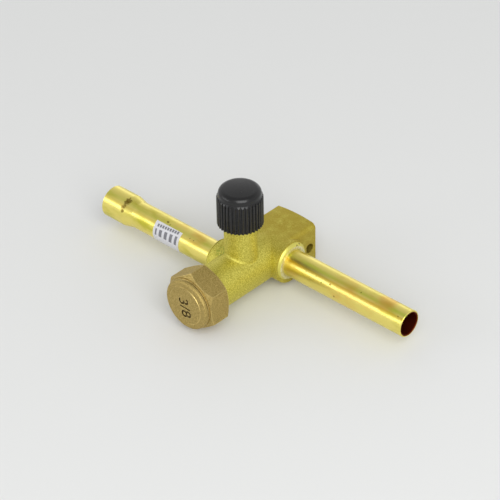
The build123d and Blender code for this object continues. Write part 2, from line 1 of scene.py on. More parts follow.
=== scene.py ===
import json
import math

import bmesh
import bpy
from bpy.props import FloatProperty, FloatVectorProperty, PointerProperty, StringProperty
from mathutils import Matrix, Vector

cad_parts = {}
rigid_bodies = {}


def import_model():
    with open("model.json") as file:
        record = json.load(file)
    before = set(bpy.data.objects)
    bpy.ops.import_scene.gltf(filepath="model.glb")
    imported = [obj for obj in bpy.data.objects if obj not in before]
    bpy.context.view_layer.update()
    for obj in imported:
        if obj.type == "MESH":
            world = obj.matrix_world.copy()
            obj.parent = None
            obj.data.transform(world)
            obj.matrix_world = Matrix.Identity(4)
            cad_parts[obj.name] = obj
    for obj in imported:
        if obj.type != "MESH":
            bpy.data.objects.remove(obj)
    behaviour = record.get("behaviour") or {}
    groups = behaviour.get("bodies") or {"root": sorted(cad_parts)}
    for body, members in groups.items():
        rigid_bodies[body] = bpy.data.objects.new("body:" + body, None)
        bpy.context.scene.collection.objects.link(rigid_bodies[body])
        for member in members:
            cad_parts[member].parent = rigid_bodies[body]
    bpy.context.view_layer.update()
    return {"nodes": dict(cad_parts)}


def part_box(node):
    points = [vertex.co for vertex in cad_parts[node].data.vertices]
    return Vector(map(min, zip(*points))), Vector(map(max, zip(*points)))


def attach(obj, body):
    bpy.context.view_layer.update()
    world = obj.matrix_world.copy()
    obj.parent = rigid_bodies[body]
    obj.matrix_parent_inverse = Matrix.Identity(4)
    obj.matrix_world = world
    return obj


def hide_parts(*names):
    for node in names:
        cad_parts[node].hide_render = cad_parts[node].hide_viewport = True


bl_info = {
    "name": "Refrigerant service valve",
    "version": (1, 0, 0),
    "blender": (4, 5, 0),
    "location": "3D Viewport > Sidebar > Valve",
    "description": "Finishes a brazed refrigerant service valve and sets it in a plain studio",
    "category": "Object",
}

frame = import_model()

MM = 0.001

# ------------------------------------------------------------------ places read from the frame
BODY_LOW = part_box("valve_body")[0]
OUTLET_LOW, OUTLET_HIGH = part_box("outlet_tube")
INLET_LOW, INLET_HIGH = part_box("inlet_tube")
CAP_LOW, CAP_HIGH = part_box("stem_cap")
PORT_CAP_LOW, PORT_CAP_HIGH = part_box("port_cap")
LABEL_LOW, LABEL_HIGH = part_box("tube_label")
WASHER_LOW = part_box("stem_cap_gasket")[0]

OUTLET_Y = (OUTLET_LOW.y + OUTLET_HIGH.y) / 2
INLET_Y = (INLET_LOW.y + INLET_HIGH.y) / 2
TUBE_R = (OUTLET_HIGH.z - OUTLET_LOW.z) / 2
TUBE_WALL = 0.8 * MM
MERGE_DISTANCE = 0.002 * MM
SWAGE_START = -50    # x in millimetres; beyond it the inlet tube is widened to its socket

# Settings that several nodes share. An input with no name of its own goes by its number: Map Range
# takes 0 value, 1 and 2 the range it comes from, 3 and 4 the range it goes to; a colour Mix takes
# 0 share, 6 and 7 the two colours; Math takes its operands in order.
TIMES = {"operation": "MULTIPLY"}
ABOVE = {"operation": "GREATER_THAN"}
BELOW = {"operation": "LESS_THAN"}
SOFT = {"interpolation_type": "SMOOTHSTEP"}
COLOUR = {"data_type": "RGBA", "out": 2}
GRAIN_LOW, GRAIN_HIGH = 0.36, 0.64    # most values of a fine grain lie between these


# ------------------------------------------------------------------ node and colour helpers
def linear(code):
    """Linear RGBA of an sRGB hex colour."""
    channels = [int(code[i:i + 2], 16) / 255 for i in (1, 3, 5)]
    return [c / 12.92 if c <= 0.04045 else ((c + 0.055) / 1.055) ** 2.4 for c in channels] + [1.0]


def add(tree, kind, links=None, out=0, **settings):
    """Adds a node and returns one of its outputs, or the node itself where out is None.

    Among the links a socket is joined up and a plain value is set."""
    node = tree.nodes.new(kind)
    for key, value in settings.items():
        setattr(node, key, value)
    for key, value in (links or {}).items():
        if isinstance(value, bpy.types.NodeSocket):
            tree.links.new(value, node.inputs[key])
        else:
            node.inputs[key].default_value = value
    return node if out is None else node.outputs[out]


class Finish:
    """A material in the making: its tree, its surface shader and its object coordinates."""

    def __init__(self, name, **surface):
        self.material = bpy.data.materials.new(name)
        self.material.use_nodes = True
        self.tree = self.material.node_tree
        self.tree.nodes.clear()
        self.shader = self.add("BsdfPrincipled", out=None)
        self.add("OutputMaterial", {"Surface": self.shader.outputs[0]}, out=None)
        self.place = self.add("TexCoord", out="Object")
        self.x, self.y, self.z = self.add("SeparateXYZ", {0: self.place}, out=None).outputs
        self.set(**surface)

    def add(self, kind, links=None, out=0, **settings):
        return add(self.tree, "ShaderNode" + kind, links, out, **settings)

    def set(self, **surface):
        """Sets or links inputs of the surface shader; base_color stands for Base Color."""
        for key, value in surface.items():
            socket = self.shader.inputs[key.replace("_", " ").title()]
            if isinstance(value, bpy.types.NodeSocket):
                self.tree.links.new(value, socket)
            else:
                socket.default_value = value

    def grain(self, size, detail=2.0, stretch=(1, 1, 1)):
        """Cloudy 0 to 1 pattern with grains of a real size, drawn out along the stretched axes."""
        scale = [1 / (size * s) for s in stretch]
        place = self.add("Mapping", {"Vector": self.place, "Scale": scale})
        return self.add("TexNoise", {"Vector": place, "Scale": 1.0, "Detail": detail})

    def spot(self, centre, radius, ragged=0.0):
        """1 at a point, fading to 0 at a radius from it; ragged is how far its outline strays."""
        lobe, full = 0.9 * MM, 0.4
        place = self.place
        if ragged:
            stray = self.add("TexNoise", {"Vector": self.place, "Scale": 1 / lobe}, out="Color")
            place = self.add("VectorMath", {0: stray, 1: [ragged] * 3, 2: place},
                             operation="MULTIPLY_ADD")
            centre = [c + ragged / 2 for c in centre]
        away = self.add("VectorMath", {0: place, 1: centre}, out="Value", operation="DISTANCE")
        return self.add("MapRange", {0: away, 1: radius, 2: radius * full}, **SOFT)

    def off_axis(self, centre_y):
        """Square of the distance from a tube's axis."""
        back = self.add("Math", {0: self.y, 1: centre_y}, operation="SUBTRACT")
        height = self.add("Math", {0: self.z, 1: self.z}, **TIMES)
        return self.add("Math", {0: back, 1: back, 2: height}, operation="MULTIPLY_ADD")
    def angle_round(self, centre_y):
        """Angle about a tube's axis in degrees: 0 at the back, 90 on top, 180 in front."""
        back = self.add("Math", {0: self.y, 1: centre_y}, operation="SUBTRACT")
        turn = self.add("Math", {0: self.z, 1: back}, operation="ARCTAN2")
        return self.add("Math", {0: turn}, operation="DEGREES")

    def worn_and_highlit_edge(self, width):
        """1 along sharp edges and 0 on flats, within a real width of the edge."""
        # cosines of how far the eased normal leans from the true one
        flat, sharp = 0.995, 0.93
        eased = self.add("Bevel", {"Radius": width}, samples=6)
        true = self.add("NewGeometry", out="True Normal")
        lean = self.add("VectorMath", {0: eased, 1: true}, out="Value", operation="DOT_PRODUCT")
        return self.add("MapRange", {0: lean, 1: flat, 2: sharp}, **SOFT)
def dress(material, *nodes):
    """Gives CAD nodes a finish."""
    for node in nodes:
        slots = frame["nodes"][node].data.materials
        slots.clear()
        slots.append(material)


def on_tube(centre_y, x, degrees):
    """Point on a tube: x in millimetres, and the angle from +Y towards +Z."""
    a = math.radians(degrees)
    radius = TUBE_R if x > SWAGE_START else INLET_HIGH.z
    return (x * MM, centre_y + radius * math.cos(a), radius * math.sin(a))


# ------------------------------------------------------------------ settings
def colour(name, description, code):
    return StringProperty(name=name, description=description, default=code)


def length(name, description, default):
    return FloatProperty(name=name, description=description, default=default, unit="LENGTH")


class ValveFinishes(bpy.types.PropertyGroup):
    """Colours of the valve's finishes"""

    forging: colour("Forging", "Yellow chromate on the forged brass", "#e0d86c")
    forging_deep: colour("Forging, deep", "Hollows between the sand grains", "#b9ae45")
    oxide: colour("Oxide", "Olive brown oxide on the block", "#b39c36")
    verdigris: colour("Verdigris", "Green in the foot of the port", "#7f9a34")
    tube: colour("Tube", "Bright dipped tube", "#f2e27c")
    tube_warm: colour("Tube, warm", "Heat tint on the tube", "#e6aa50")
    tube_olive: colour("Tube, olive", "Deep chromate on the tube", "#cdc546")
    # the next two colours paint reflection bands on the tubes, fixed in angle round them, that stand
    # in for the mirrored ceiling and floor
    tube_reflection_green: colour("Tube, green", "Greenish band of chromate", "#cbd552")
    tube_reflection_gold: colour("Tube, gold", "Golden band of chromate", "#dcb83a")
    tube_speck: colour("Tube, specks", "Dark specks and scratches", "#6a4c12")
    tube_inside: colour("Tube inside", "Oxidised copper", "#6a2410")
    cap: colour("Cap", "Tumbled brass of the cap", "#c5ae6c")
    cap_deep: colour("Cap, deep", "Hollows of the cap", "#9d884a")
    # bright edges of the cap: partly real wear, partly a painted highlight
    cap_worn_and_highlight: colour("Cap, worn", "Bright brass on rubbed edges", "#ead48c")
    filler: colour("Filler", "Silver brazing alloy", "#f2edc4")
    filler_deep: colour("Filler, deep", "Hollows of the alloy", "#d8cd88")
    plastic: colour("Plastic", "Moulded black plastic", "#0b0b0c")
    paper: colour("Paper", "Label stock", "#cfcfd4")
    ink: colour("Ink", "Label print", "#5a5a62")
    # painted shade in the bottom of the stamped figures
    painted_figure_shade: colour("Shaded", "Shade in the stamped figures", "#4a3a1c")
    cut_brass: colour("Cut brass", "Flanks of the threads", "#d8bf5e")
    turned_brass: colour("Turned brass", "Stem and valve core", "#d8b660")
    steel: colour("Steel", "Retaining ring and spring", "#b9babc")
    rubber: colour("Rubber", "Nitrile seals", "#1c1c1c")
    fluoropolymer: colour("Fluoropolymer", "Pale sealing plastic", "#e6e4dd")


class ValveDetails(bpy.types.PropertyGroup):
    """Sizes of the threads and of the stamping"""

    neck_pitch: length("Neck pitch", "Thread under the hexagon cap", 1.0 * MM)
    port_pitch: length("Port pitch", "Thread under the black cap, 20 to the inch", 1.27 * MM)
    stamp: StringProperty(name="Stamp", description="Figures stamped in the cap", default="3/8")
    stamp_height: length("Stamp size", "Type size of the figures", 6.0 * MM)
    stamp_depth: length("Stamp depth", "Depth of the figures", 0.3 * MM)
class ValveStudio(bpy.types.PropertyGroup):
    """Camera, floor and light"""

    focal: FloatProperty(name="Focal length", description="Lens on a 36 mm sensor", default=172.8)
    azimuth: FloatProperty(name="Azimuth", description="Camera turn from -Y, degrees", default=43.49)
    elevation: FloatProperty(name="Elevation", description="Camera height, degrees", default=35.841)
    roll: FloatProperty(name="Roll", description="Camera roll, degrees", default=-1.127)
    distance: length("Distance", "Camera to aim point", 0.810617)
    aim: FloatVectorProperty(name="Aim", description="Point at the middle of the view",
                             default=(-0.005059, -0.018022, 0.000278), unit="LENGTH")
    floor: colour("Floor", "Floor colour", "#e2e3e2")
    wall: colour("Wall", "Walls that the metal mirrors", "#e2e2e2")
    ceiling: colour("Ceiling", "Ceiling that the metal mirrors", "#c2c2c2")


# ------------------------------------------------------------------ stage
def resting_plane():
    """Height and tilt of the floor under the block's back edge and the cap's lowest corner."""
    corner_cut = 0.9 * MM
    contact_y = CAP_HIGH.y - corner_cut
    return BODY_LOW.z, math.atan((CAP_LOW.z - BODY_LOW.z) / contact_y)


class VALVE_OT_stage(bpy.types.Operator):
    """Builds the floor, the lamps and the camera"""

    bl_idname = "valve.stage"
    bl_label = "Stage"

    # name, direction from the valve, distance, size, watts
    panels = (
        ("front_right_softbox", (0.75, -0.55, 0.75), 1.0, (0.8, 0.8), 6.0),
        ("back_left_window", (-0.56, 0.75, 0.22), 1.1, (0.9, 0.35), 0.6),
        ("front_left_window", (-0.56, -0.78, 0.33), 1.1, (0.8, 0.2), 1.3),
    )

    def execute(self, context):
        studio = context.scene.valve_studio
        self.floor(context, studio)
        self.world(context, studio)
        self.lamps(context)
        self.camera(context, studio)
        context.scene.view_settings.view_transform = "Standard"
        return {"FINISHED"}

    def floor(self, context, studio):
        height, tilt = resting_plane()
        half = 3.0
        mesh = bpy.data.meshes.new("floor")
        corners = [(-half, -half, 0), (half, -half, 0), (half, half, 0), (-half, half, 0)]
        mesh.from_pydata(corners, [], [(0, 1, 2, 3)])
        mesh.transform(Matrix.Translation((0, 0, height)) @ Matrix.Rotation(tilt, 4, "X"))
        floor = bpy.data.objects.new("floor", mesh)
        context.collection.objects.link(floor)
        # matt laminate: even and pale, with no mirror image
        board = Finish("Matt laminate", base_color=linear(studio.floor), roughness=0.75)
        mesh.materials.append(board.material)

    def world(self, context, studio):
        """Pale walls under a darker ceiling, which the tubes mirror as bands."""
        # heights on the unit sphere of directions
        walls_end, ceiling_starts = 0.5, 0.85
        world = bpy.data.worlds.new("studio")
        context.scene.world = world
        world.use_nodes = True
        tree = world.node_tree
        tree.nodes.clear()
        way = add(tree, "ShaderNodeTexCoord", out="Generated")
        height = add(tree, "ShaderNodeSeparateXYZ", {0: way}, out=2)
        overhead = add(tree, "ShaderNodeMapRange", {0: height, 1: walls_end, 2: ceiling_starts},
                       **SOFT)
        wall, ceiling = linear(studio.wall), linear(studio.ceiling)
        tone = add(tree, "ShaderNodeMix", {0: overhead, 6: wall, 7: ceiling}, **COLOUR)
        light = add(tree, "ShaderNodeBackground", {"Color": tone, "Strength": 1.0})
        add(tree, "ShaderNodeOutputWorld", {"Surface": light}, out=None)

    def lamps(self, context):
        aim = Vector((0, INLET_Y, 0))
        for name, way, distance, size, power in self.panels:
            lamp = bpy.data.lights.new(name, "AREA")
            lamp.shape = "RECTANGLE"
            lamp.size, lamp.size_y = size
            lamp.energy = power
            holder = bpy.data.objects.new(name, lamp)
            way = Vector(way).normalized()
            holder.location = aim + way * distance
            holder.rotation_euler = way.to_track_quat("Z", "Y").to_euler()
            context.collection.objects.link(holder)

    def camera(self, context, studio):
        a, e, r = (math.radians(v) for v in (studio.azimuth, studio.elevation, studio.roll))
        back = Vector((math.sin(a) * math.cos(e), -math.cos(a) * math.cos(e), math.sin(e)))
        level = Vector((math.cos(a), math.sin(a), 0))
        up = back.cross(level)
        right = math.cos(r) * level + math.sin(r) * up
        top = -math.sin(r) * level + math.cos(r) * up
        turn = Matrix((right, top, back)).transposed().to_4x4()
        lens = bpy.data.cameras.new("camera")
        lens.lens = studio.focal
        lens.sensor_width = 36.0
        camera = bpy.data.objects.new("camera", lens)
        camera.matrix_world = Matrix.Translation(Vector(studio.aim) + back * studio.distance) @ turn
        context.collection.objects.link(camera)
        context.scene.camera = camera


# ------------------------------------------------------------------ finishes
def forged_brass(colours):
    """Hot forged brass, blasted and yellow chromated: a dull sandy skin, olive brown on the block,
    with green corrosion in the foot of the port."""
    sand_size, bloom_size, peel_size, cloud_size = 0.34 * MM, 0.9 * MM, 1.3 * MM, 2.6 * MM
    sand_depth, peel_depth = 0.05 * MM, 0.10 * MM
    bare_y, brown_y, most_brown = -24 * MM, -9 * MM, 0.75
    foot_centre, foot_radius = (-5.4 * MM, INLET_Y - 3.5 * MM, 6.6 * MM), 3.2 * MM
    hollow_rough, grain_rough = 0.66, 0.5

    f = Finish("Chromated forged brass", metallic=0.9)
    sand = f.grain(sand_size, detail=3.0)
    cloud = f.grain(cloud_size)
    fine = f.add("MapRange", {0: sand, 1: GRAIN_LOW, 2: GRAIN_HIGH}, **SOFT)
    deep, raised = linear(colours.forging_deep), linear(colours.forging)
    tone = f.add("Mix", {0: fine, 6: deep, 7: raised}, **COLOUR)
    block = f.add("MapRange", {0: f.y, 1: bare_y, 2: brown_y, 4: most_brown}, **SOFT)
    thick = f.add("MapRange", {0: cloud, 1: 0.25, 2: 0.6, 3: 0.45}, **SOFT)
    browned = f.add("Math", {0: block, 1: thick}, **TIMES)
    tone = f.add("Mix", {0: browned, 6: tone, 7: linear(colours.oxide)}, **COLOUR)
    foot = f.spot(foot_centre, foot_radius)
    bloom = f.add("MapRange", {0: f.grain(bloom_size), 1: 0.42, 2: 0.6, 4: 0.7}, **SOFT)
    green = f.add("Math", {0: foot, 1: bloom}, **TIMES)
    tone = f.add("Mix", {0: green, 6: tone, 7: linear(colours.verdigris)}, **COLOUR)
    peel = f.add("Bump", {"Height": f.grain(peel_size), "Distance": peel_depth, "Strength": 0.5})
    skin = f.add("Bump", {"Height": sand, "Distance": sand_depth, "Strength": 0.8, "Normal": peel})
    rough = f.add("MapRange", {0: sand, 3: hollow_rough, 4: grain_rough})
    f.set(base_color=tone, roughness=rough, normal=skin)
    return f.material


def bright_tube(colours, name, centre_y, reflection_share, specks, tints):
    """Drawn copper tube, bright dipped and chromated golden: glossy, with fine draw lines, heat
    tints from the brazing, a few dark specks, and two painted reflection bands along its length."""
    cloud_size, line_size, line_depth = 4.0 * MM, 0.22 * MM, 0.01 * MM
    # painted reflections: two bands of colour along the tube, fixed in angle round it, that stand in
    # for the mirrored ceiling and floor; start, middle and end in degrees round it
    bands = ((98, 116, 126, colours.tube_reflection_green), (124, 133, 143, colours.tube_reflection_gold))
    speck_strength = 0.75
    bright_rough, dull_rough, bore_extra = 0.24, 0.38, 0.25
    socket_x, plain_x = -51.5 * MM, -47.8 * MM

    f = Finish(name, metallic=1.0)
    cloud = f.grain(cloud_size, detail=3.0, stretch=(3, 1, 1))
    olive = f.add("MapRange", {0: cloud, 1: 0.45, 2: 0.75}, **SOFT)
    bright, dark = linear(colours.tube), linear(colours.tube_olive)
    tone = f.add("Mix", {0: olive, 6: bright, 7: dark}, **COLOUR)
    turn = f.angle_round(centre_y)
    for start, middle, end, code in bands:
        rise = f.add("MapRange", {0: turn, 1: start, 2: middle, 4: reflection_share}, **SOFT)
        fall = f.add("MapRange", {0: turn, 1: end, 2: middle}, **SOFT)
        band = f.add("Math", {0: rise, 1: fall}, **TIMES)
        tone = f.add("Mix", {0: band, 6: tone, 7: linear(code)}, **COLOUR)
    for x, degrees, size, amount in tints:
        uneven = f.add("MapRange", {0: cloud, 1: 0.3, 2: 0.6, 4: amount}, **SOFT)
        warm = f.spot(on_tube(centre_y, x, degrees), size * MM)
        patch = f.add("Math", {0: warm, 1: uneven}, **TIMES)
        tone = f.add("Mix", {0: patch, 6: tone, 7: linear(colours.tube_warm)}, **COLOUR)
    for x, degrees, size in specks:
        mark = f.spot(on_tube(centre_y, x, degrees), size * MM, ragged=2 * size * MM)
        speck = f.add("Math", {0: mark, 1: speck_strength}, **TIMES)
        tone = f.add("Mix", {0: speck, 6: tone, 7: linear(colours.tube_speck)}, **COLOUR)
    # the bore was never dipped and keeps its dark red oxide; its limit is the middle of the wall
    plain_limit, socket_limit = ((r - TUBE_WALL / 2) ** 2 for r in (TUBE_R, INLET_HIGH.z))
    limit = f.add("MapRange", {0: f.x, 1: socket_x, 2: plain_x, 3: socket_limit, 4: plain_limit})
    inside = f.add("Math", {0: f.off_axis(centre_y), 1: limit}, **BELOW)
    tone = f.add("Mix", {0: inside, 6: tone, 7: linear(colours.tube_inside)}, **COLOUR)
    gloss = f.add("MapRange", {0: cloud, 3: bright_rough, 4: dull_rough})
    rough = f.add("Math", {0: inside, 1: bore_extra, 2: gloss}, operation="MULTIPLY_ADD")
    lines = f.grain(line_size, stretch=(80, 1, 1))
    drawn = f.add("Bump", {"Height": lines, "Distance": line_depth, "Strength": 0.6})
    f.set(base_color=tone, roughness=rough, normal=drawn)
    return f.material


def tumbled_brass(colours):
    """Turned and tumbled brass, dulled brown: matt and sandy, worn bright along its edges, where the
    brighter colour is also a painted highlight; painted shade darkens the bottom of the figures.
    """
    sand_size, sand_depth, patch_size = 0.28 * MM, 0.03 * MM, 1.5 * MM
    edge_width, matt_rough, rubbed_rough = 0.35 * MM, 0.56, 0.36
    figures_radius, shade_start_depth, full_shade_depth, most_figure_shade = 6.6 * MM, 0.05 * MM, 0.2 * MM, 0.85

    f = Finish("Tumbled brass", metallic=0.9)
    sand = f.grain(sand_size, detail=3.0)
    fine = f.add("MapRange", {0: sand, 1: GRAIN_LOW, 2: GRAIN_HIGH}, **SOFT)
    deep, raised = linear(colours.cap_deep), linear(colours.cap)
    tone = f.add("Mix", {0: fine, 6: deep, 7: raised}, **COLOUR)
    uneven = f.add("MapRange", {0: f.grain(patch_size), 1: 0.32, 2: 0.6, 3: 0.25, 4: 0.85}, **SOFT)
    # brighter colour along the edges: partly real wear, partly a painted highlight
    rubbed_and_highlit = f.add("Math", {0: f.worn_and_highlit_edge(edge_width), 1: uneven}, **TIMES)
    tone = f.add("Mix", {0: rubbed_and_highlit, 6: tone, 7: linear(colours.cap_worn_and_highlight)}, **COLOUR)
    # painted shade darkens the bottom of the figures
    face = CAP_LOW.y
    near = f.add("VectorMath", {0: f.place, 1: (0, face, 0)}, out="Value", operation="DISTANCE")
    on_face = f.add("Math", {0: near, 1: figures_radius}, **BELOW)
    sunk = f.add("MapRange", {0: f.y, 1: face + shade_start_depth, 2: face + full_shade_depth, 4: most_figure_shade},
                 **SOFT)
    painted_figure_shade = f.add("Math", {0: on_face, 1: sunk}, **TIMES)
    tone = f.add("Mix", {0: painted_figure_shade, 6: tone, 7: linear(colours.painted_figure_shade)}, **COLOUR)
    skin = f.add("Bump", {"Height": sand, "Distance": sand_depth, "Strength": 0.7})
    rough = f.add("MapRange", {0: rubbed_and_highlit, 3: matt_rough, 4: rubbed_rough})
    f.set(base_color=tone, roughness=rough, normal=skin)
    return f.material


def brazing_alloy(colours):
    """Silver brazing alloy: pale and wetted out, a little rough, with two small pits."""
    wave_size, wave_depth = 0.7 * MM, 0.12 * MM
    alloy_radius, chromate_radius = 5.9 * MM, 6.3 * MM
    pit_x, pit_z, pit_radius = 10.2 * MM, 5.9 * MM, 0.5 * MM

    f = Finish("Silver brazing alloy", metallic=0.85)
    wave = f.grain(wave_size, detail=3.0)
    smooth = f.add("MapRange", {0: wave, 1: 0.35, 2: 0.7}, **SOFT)
    deep, raised = linear(colours.filler_deep), linear(colours.filler)
    tone = f.add("Mix", {0: smooth, 6: deep, 7: raised}, **COLOUR)
    # the alloy wetted out to its radius; beyond it the boss's chromate covers the bead's foot
    foot = f.add("MapRange", {0: f.off_axis(OUTLET_Y), 1: alloy_radius ** 2,
                              2: chromate_radius ** 2}, **SOFT)
    tone = f.add("Mix", {0: foot, 6: tone, 7: linear(colours.forging)}, **COLOUR)
    for behind_axis in (2.0, 3.6):
        pit = f.spot((pit_x, OUTLET_Y + behind_axis * MM, pit_z), pit_radius)
        tone = f.add("Mix", {0: pit, 6: tone, 7: linear(colours.tube_speck)}, **COLOUR)
    skin = f.add("Bump", {"Height": wave, "Distance": wave_depth, "Strength": 0.6})
    f.set(base_color=tone, roughness=0.42, normal=skin)
    return f.material


def moulded_plastic(colours):
    """Injection moulded polyamide: black and satin, with a faint mould grain."""
    grain_size, grain_depth, patch_size = 0.2 * MM, 0.008 * MM, 1.2 * MM
    f = Finish("Moulded polyamide", base_color=linear(colours.plastic))
    skin = f.add("Bump", {"Height": f.grain(grain_size), "Distance": grain_depth, "Strength": 0.6})
    rough = f.add("MapRange", {0: f.grain(patch_size), 3: 0.2, 4: 0.3})
    f.set(roughness=rough, normal=skin)
    return f.material


def printed_sticker(colours):
    """Coated paper sticker: a row of plain dashes above a block of upright bars, stuck on askew."""
    # degrees round the tube: how far the print slopes from end to end, and where it starts and ends
    slope, print_top, print_foot = 12.0, 122.0, 236.0
    margins, ink_strength = (0.08, 0.92), 0.85
    # each field: repeats along the label, printed share of one repeat, band it fills down the label
    fields = ((5.0, 0.15, 0.7, 0.27, 0.95),
              (11.0, 0.15, 0.85, 0.08, 0.19))

    f = Finish("Printed sticker", roughness=0.45)
    along = f.add("MapRange", {0: f.x, 1: LABEL_LOW.x, 2: LABEL_HIGH.x})
    askew = f.add("Math", {0: along, 1: slope, 2: f.angle_round(INLET_Y)}, operation="MULTIPLY_ADD")
    down = f.add("MapRange", {0: askew, 1: print_top, 2: print_foot})
    ink = 0.0
    for count, left, right, top, foot in fields:
        repeats = f.add("Math", {0: along, 1: count}, **TIMES)
        repeat = f.add("Math", {0: repeats}, operation="FRACT")
        field = 1.0
        for value, low, high in ((repeat, left, right), (along, *margins), (down, top, foot)):
            over = f.add("Math", {0: value, 1: low}, **ABOVE)
            under = f.add("Math", {0: value, 1: high}, **BELOW)
            between = f.add("Math", {0: over, 1: under}, **TIMES)
            field = f.add("Math", {0: field, 1: between}, **TIMES)
        ink = f.add("Math", {0: ink, 1: field}, operation="MAXIMUM")
    faded = f.add("Math", {0: ink, 1: ink_strength}, **TIMES)
    paper, print_ink = linear(colours.paper), linear(colours.ink)
    tone = f.add("Mix", {0: faded, 6: paper, 7: print_ink}, **COLOUR)
    f.set(base_color=tone)
    return f.material


def small_metal(name, code, roughness):
    """Small turned, drawn or rolled metal part: clean, with fine tool marks."""
    mark_size, mark_depth = 0.15 * MM, 0.008 * MM
    f = Finish(name, base_color=linear(code), metallic=1.0, roughness=roughness)
    marks = f.add("Bump", {"Height": f.grain(mark_size), "Distance": mark_depth, "Strength": 0.6})
    f.set(normal=marks)
    return f.material


def soft_seal(name, code, roughness):
    """Moulded rubber or pressed sealing plastic: even, with a faint orange peel."""
    peel_size, peel_depth = 0.5 * MM, 0.01 * MM
    f = Finish(name, base_color=linear(code), roughness=roughness)
    peel = f.add("Bump", {"Height": f.grain(peel_size), "Distance": peel_depth, "Strength": 0.5})
    f.set(normal=peel)
    return f.material
# ------------------------------------------------------------------ mesh helpers
def plain_object(context, source, name):
    """Object with a plain mesh of what a source object evaluates to; the source is removed."""
    graph = context.evaluated_depsgraph_get()
    mesh = bpy.data.meshes.new_from_object(source.evaluated_get(graph))
    bpy.data.objects.remove(source)
    piece = bpy.data.objects.new(name, mesh)
    context.collection.objects.link(piece)
    return piece


def close_up(mesh):
    """Joins a mesh's doubled vertices and turns its faces outward."""
    work = bmesh.new()
    work.from_mesh(mesh)
    bmesh.ops.remove_doubles(work, verts=work.verts, dist=MERGE_DISTANCE)
    bmesh.ops.dissolve_degenerate(work, edges=work.edges, dist=MERGE_DISTANCE / 2)
    bmesh.ops.recalc_face_normals(work, faces=work.faces)
    work.to_mesh(mesh)
    work.free()


def turned(context, profile):
    """Closed solid turned about the stem axis from (radius, distance from the back face) pairs."""
    work = bmesh.new()
    points = [work.verts.new((radius, -far, 0)) for radius, far in profile]
    edges = [work.edges.new(pair) for pair in zip(points, points[1:])]
    bmesh.ops.spin(work, geom=points + edges, cent=(0, 0, 0), axis=(0, 1, 0), angle=2 * math.pi,
                   steps=96, use_merge=True, use_duplicate=False)
    mesh = bpy.data.meshes.new("turned")
    work.to_mesh(mesh)
    work.free()
    close_up(mesh)
    solid = bpy.data.objects.new("cutter_turned", mesh)
    context.collection.objects.link(solid)
    return solid


def quarter_round(radius, far, size, steps):
    """Profile points of a rounded edge about its centre, from the side round to the end."""
    angles = [math.radians(90 * step / steps) for step in range(steps + 1)]
    return [(radius + size * math.cos(a), far + size * math.sin(a)) for a in angles]


def finished(cap, material, crease):
    """Gives a cap its finish and smooth shading up to a crease angle in degrees."""
    cap.data.materials.clear()
    cap.data.materials.append(material)
    cap.data.shade_smooth()
    cap.data.set_sharp_from_angle(angle=math.radians(crease))


def combine(target, operation, other):
    """Adds a boolean of another object to a target."""
    step = target.modifiers.new(operation, "BOOLEAN")
    step.operation = operation
    step.solver = "EXACT"
    step.object = other


def thread_tree():
    """Geometry Nodes tree of a thread ridge: a pointed coil that fades out at both ends."""
    tree = bpy.data.node_groups.new("Thread ridge", "GeometryNodeTree")
    tree.interface.new_socket("Geometry", in_out="OUTPUT", socket_type="NodeSocketGeometry")
    for name in ("Root radius", "Pitch", "Turns", "Depth"):
        tree.interface.new_socket(name, in_out="INPUT", socket_type="NodeSocketFloat")
    tree.interface.new_socket("Finish", in_out="INPUT", socket_type="NodeSocketMaterial")
    sizes = add(tree, "NodeGroupInput", out=None).outputs
    # a triangle of radius r stands 1.5 r high; a tenth of r is sunk in the root
    height, middle = 1.4, 0.4
    point = add(tree, "ShaderNodeMath", {0: sizes["Depth"], 1: height}, operation="DIVIDE")
    centre = add(tree, "ShaderNodeMath", {0: point, 1: middle, 2: sizes["Root radius"]},
                 operation="MULTIPLY_ADD")
    rise = add(tree, "ShaderNodeMath", {0: sizes["Pitch"], 1: sizes["Turns"]}, **TIMES)
    coil = add(tree, "GeometryNodeCurveSpiral", {"Resolution": 48, "Rotations": sizes["Turns"],
                                                 "Start Radius": centre, "End Radius": centre,
                                                 "Height": rise})
    coil = add(tree, "GeometryNodeSetCurveNormal", {0: coil}, mode="Z_UP")
    along = add(tree, "GeometryNodeSplineParameter")
    left = add(tree, "ShaderNodeMath", {0: 1.0, 1: along}, operation="SUBTRACT")
    near_end = add(tree, "ShaderNodeMath", {0: along, 1: left}, operation="MINIMUM")
    # the point comes up to its full height over the first half turn
    turns_left = add(tree, "ShaderNodeMath", {0: near_end, 1: sizes["Turns"]}, **TIMES)
    fade = add(tree, "ShaderNodeMath", {0: turns_left, 1: 2.0}, use_clamp=True, **TIMES)
    fade = add(tree, "ShaderNodeMath", {0: fade, 1: 0.02}, operation="MAXIMUM")
    section = add(tree, "GeometryNodeCurvePrimitiveCircle", {"Resolution": 3, "Radius": point})
    ridge = add(tree, "GeometryNodeCurveToMesh", {"Curve": coil, "Profile Curve": section,
                                                  "Scale": fade, "Fill Caps": True})
    ridge = add(tree, "GeometryNodeRealizeInstances", {0: ridge})
    ridge = add(tree, "GeometryNodeSetMaterial", {0: ridge, "Material": sizes["Finish"]})
    add(tree, "NodeGroupOutput", {0: ridge}, out=None)
    return tree


def thread(context, tree, name, values, stand):
    """Thread ridge built round +Z by the tree and put in its place by the stand matrix."""
    host = bpy.data.objects.new(name, bpy.data.meshes.new(name))
    context.collection.objects.link(host)
    modifier = host.modifiers.new("Thread", "NODES")
    modifier.node_group = tree
    for item in tree.interface.items_tree:
        if item.name in values:
            modifier[item.identifier] = values[item.name]
    piece = plain_object(context, host, name)
    piece.data.transform(stand)
    close_up(piece.data)
    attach(piece, "body")


# ------------------------------------------------------------------ pieces
class VALVE_OT_forging(bpy.types.Operator):
    """Finishes the forged body and its braze beads"""

    bl_idname = "valve.forging"
    bl_label = "Forging"

    def execute(self, context):
        colours = context.scene.valve_finishes
        dress(forged_brass(colours), "valve_body")
        dress(brazing_alloy(colours), "outlet_braze_ring", "inlet_braze_ring")
        return {"FINISHED"}


